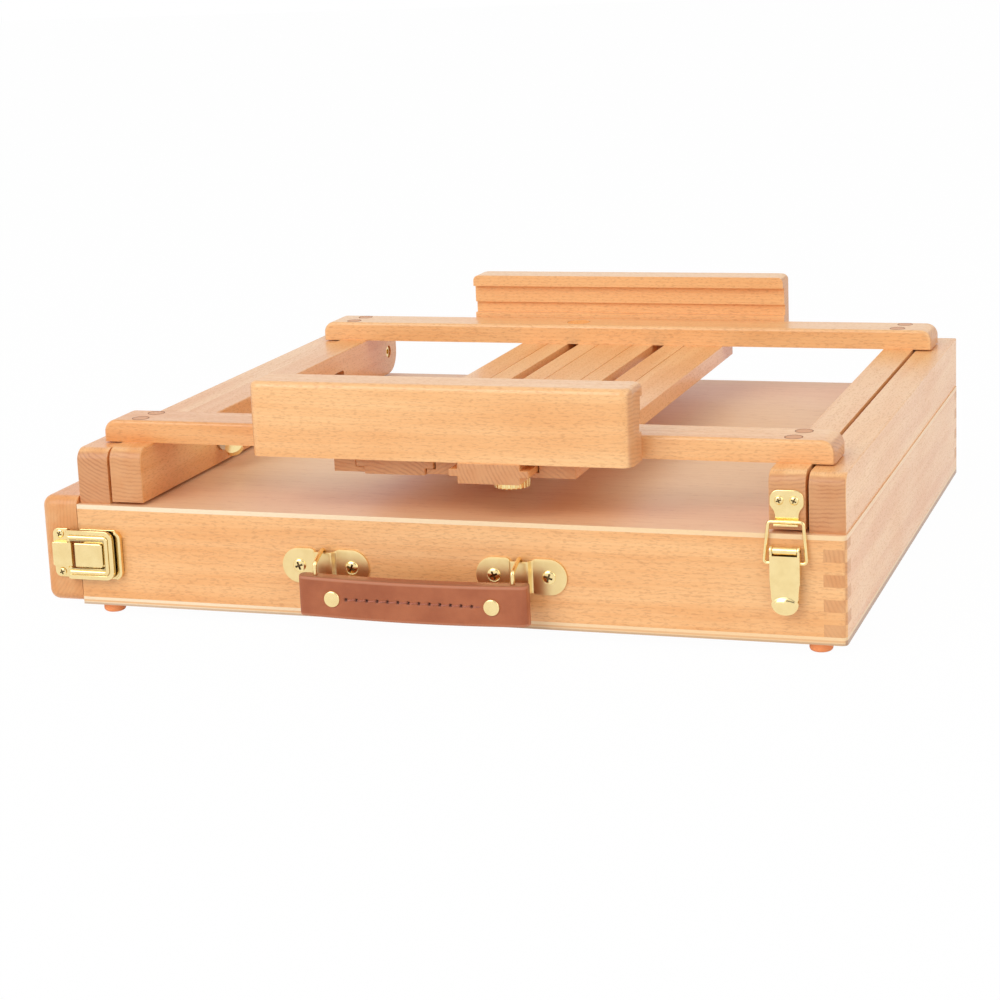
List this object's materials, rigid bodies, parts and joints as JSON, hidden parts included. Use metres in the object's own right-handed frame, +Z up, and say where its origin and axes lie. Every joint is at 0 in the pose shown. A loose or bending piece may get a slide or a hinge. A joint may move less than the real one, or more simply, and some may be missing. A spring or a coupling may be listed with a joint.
{
  "type": "pochade box",
  "caption": "Tabletop sketch-box easel in beech with a side drawer, a tilting frame, sliding canvas holders, a leather handle, a clasp and a toggle latch.",
  "frame": {"origin": "on the table under the middle of the whole object's box, stowed flat", "axes": "+X from the drawer's front to the closed end, +Y from the handle to the frame's hinge, +Z up"},
  "size_m": [0.4444, 0.4116, 0.1322],
  "materials": {
    "oiled_beech": "oiled, satin",
    "beech_plywood": "oiled, satin",
    "foot_rubber": "soft matte",
    "polished_brass": "polished",
    "zinc_steel": "zinc plated",
    "beech_plug": "oiled end grain",
    "handle_leather": "smooth, satin"
  },
  "bodies": {
    "base": {"front_wall": "oiled_beech", "rear_wall": "oiled_beech", "end_wall": "oiled_beech", "bottom_panel": "beech_plywood", "deck_panel": "beech_plywood", "feet": "foot_rubber", "left_rail": "oiled_beech", "right_rail": "oiled_beech", "frame_pivot_screws": "polished_brass", "strut_pins": "zinc_steel", "handle_brackets": "polished_brass", "fitting_screws": "polished_brass", "clasp_keeper": "polished_brass", "keeper_screws": "polished_brass", "latch_base": "polished_brass", "latch_pin": "polished_brass"},
    "drawer": {"drawer_front": "oiled_beech", "drawer_front_side": "oiled_beech", "drawer_rear_side": "oiled_beech", "drawer_back": "oiled_beech", "drawer_bottom": "beech_plywood", "drawer_divider": "oiled_beech", "drawer_cross_divider": "oiled_beech", "clasp_plate": "polished_brass", "clasp_screws": "polished_brass", "clasp_pin": "polished_brass"},
    "fork": {"clasp_fork": "polished_brass"},
    "easel_frame": {"left_bar": "oiled_beech", "right_bar": "oiled_beech", "front_cross_bar": "oiled_beech", "rear_cross_bar": "oiled_beech", "cross_bar_plugs": "beech_plug", "left_slide_rail": "oiled_beech", "centre_slide_rail": "oiled_beech", "right_slide_rail": "oiled_beech", "lock_bolts": "polished_brass", "latch_strike": "polished_brass", "strike_screws": "polished_brass"},
    "front_mast": {"front_slide": "oiled_beech", "front_holder": "oiled_beech", "front_holder_screws": "polished_brass"},
    "rear_mast": {"rear_slide": "oiled_beech", "rear_holder": "oiled_beech", "rear_holder_screws": "polished_brass"},
    "front_nut": {"front_thumb_nut": "polished_brass"},
    "rear_nut": {"rear_thumb_nut": "polished_brass"},
    "left_stay": {"left_strut": "zinc_steel", "left_strut_bolt": "zinc_steel", "left_washer": "zinc_steel"},
    "right_stay": {"right_strut": "zinc_steel", "right_strut_bolt": "zinc_steel", "right_washer": "zinc_steel"},
    "left_wing": {"left_wing_nut": "polished_brass"},
    "right_wing": {"right_wing_nut": "polished_brass"},
    "left_ring": {"left_handle_ring": "polished_brass"},
    "right_ring": {"right_handle_ring": "polished_brass"},
    "handle": {"handle_leather": "handle_leather", "handle_rivets": "polished_brass"},
    "lever": {"latch_lever": "polished_brass"},
    "bail": {"latch_bail": "polished_brass"}
  },
  "joints": [
    {"name": "drawer_slide", "type": "slide", "parent": "base", "child": "drawer", "axis": [-1, 0, 0], "range_m": [0, 0.25]},
    {"name": "clasp_swing", "type": "hinge", "parent": "drawer", "child": "fork", "pos_m": [-0.20435, -0.18775, 0.0339], "axis": [0, 0, -1], "range_deg": [0, 110]},
    {"name": "frame_tilt", "type": "hinge", "parent": "base", "child": "easel_frame", "pos_m": [0, 0.19125, 0.07745], "axis": [-1, 0, 0], "range_deg": [0, 72]},
    {"name": "left_stay_fold", "type": "hinge", "parent": "base", "child": "left_stay", "pos_m": [-0.18085, 0.05625, 0.07745], "axis": [-1, 0, 0], "range_deg": [0, 144]},
    {"name": "left_wing_turn", "type": "hinge", "parent": "left_stay", "child": "left_wing", "pos_m": [-0.16035, -0.07875, 0.07745], "axis": [1, 0, 0], "continuous": true},
    {"name": "right_stay_fold", "type": "hinge", "parent": "base", "child": "right_stay", "pos_m": [0.20335, 0.05625, 0.07745], "axis": [-1, 0, 0], "range_deg": [0, 144]},
    {"name": "right_wing_turn", "type": "hinge", "parent": "right_stay", "child": "right_wing", "pos_m": [0.18285, -0.07875, 0.07745], "axis": [1, 0, 0], "continuous": true},
    {"name": "front_mast_slide", "type": "slide", "parent": "easel_frame", "child": "front_mast", "axis": [0, -1, 0], "range_m": [0, 0.306]},
    {"name": "rear_mast_slide", "type": "slide", "parent": "easel_frame", "child": "rear_mast", "axis": [0, 1, 0], "range_m": [0, 0.07]},
    {"name": "front_nut_turn", "type": "hinge", "parent": "easel_frame", "child": "front_nut", "pos_m": [0.0395, -0.15015, 0.0719], "axis": [0, 0, 1], "continuous": true},
    {"name": "rear_nut_turn", "type": "hinge", "parent": "easel_frame", "child": "rear_nut", "pos_m": [-0.017, 0.16585, 0.0719], "axis": [0, 0, 1], "continuous": true},
    {"name": "latch_lift", "type": "hinge", "parent": "base", "child": "lever", "pos_m": [0.1924, -0.18785, 0.0533], "axis": [-1, 0, 0], "range_deg": [0, 150]},
    {"name": "bail_swing", "type": "hinge", "parent": "lever", "child": "bail", "pos_m": [0.1924, -0.18785, 0.0471], "axis": [1, 0, 0], "range_deg": [0, 150]},
    {"name": "left_ring_swing", "type": "hinge", "parent": "base", "child": "left_ring", "pos_m": [-0.0543, -0.18635, 0.0332], "axis": [0, 0, 1], "range_deg": [-25, 25]},
    {"name": "right_ring_swing", "type": "hinge", "parent": "base", "child": "right_ring", "pos_m": [0.0543, -0.18635, 0.0332], "axis": [0, 0, 1], "range_deg": [-25, 25]},
    {"name": "handle_sway", "type": "hinge", "parent": "left_ring", "child": "handle", "pos_m": [-0.0543, -0.20025, 0.0332], "axis": [0, 0, 1], "range_deg": [-25, 25]}
  ],
  "couplings": [
    {"joint": "left_stay_fold", "follows": "frame_tilt", "ratio": 2},
    {"joint": "right_stay_fold", "follows": "frame_tilt", "ratio": 2},
    {"joint": "bail_swing", "follows": "latch_lift", "ratio": 1},
    {"joint": "right_ring_swing", "follows": "left_ring_swing", "ratio": 1},
    {"joint": "handle_sway", "follows": "left_ring_swing", "ratio": -1}
  ]
}
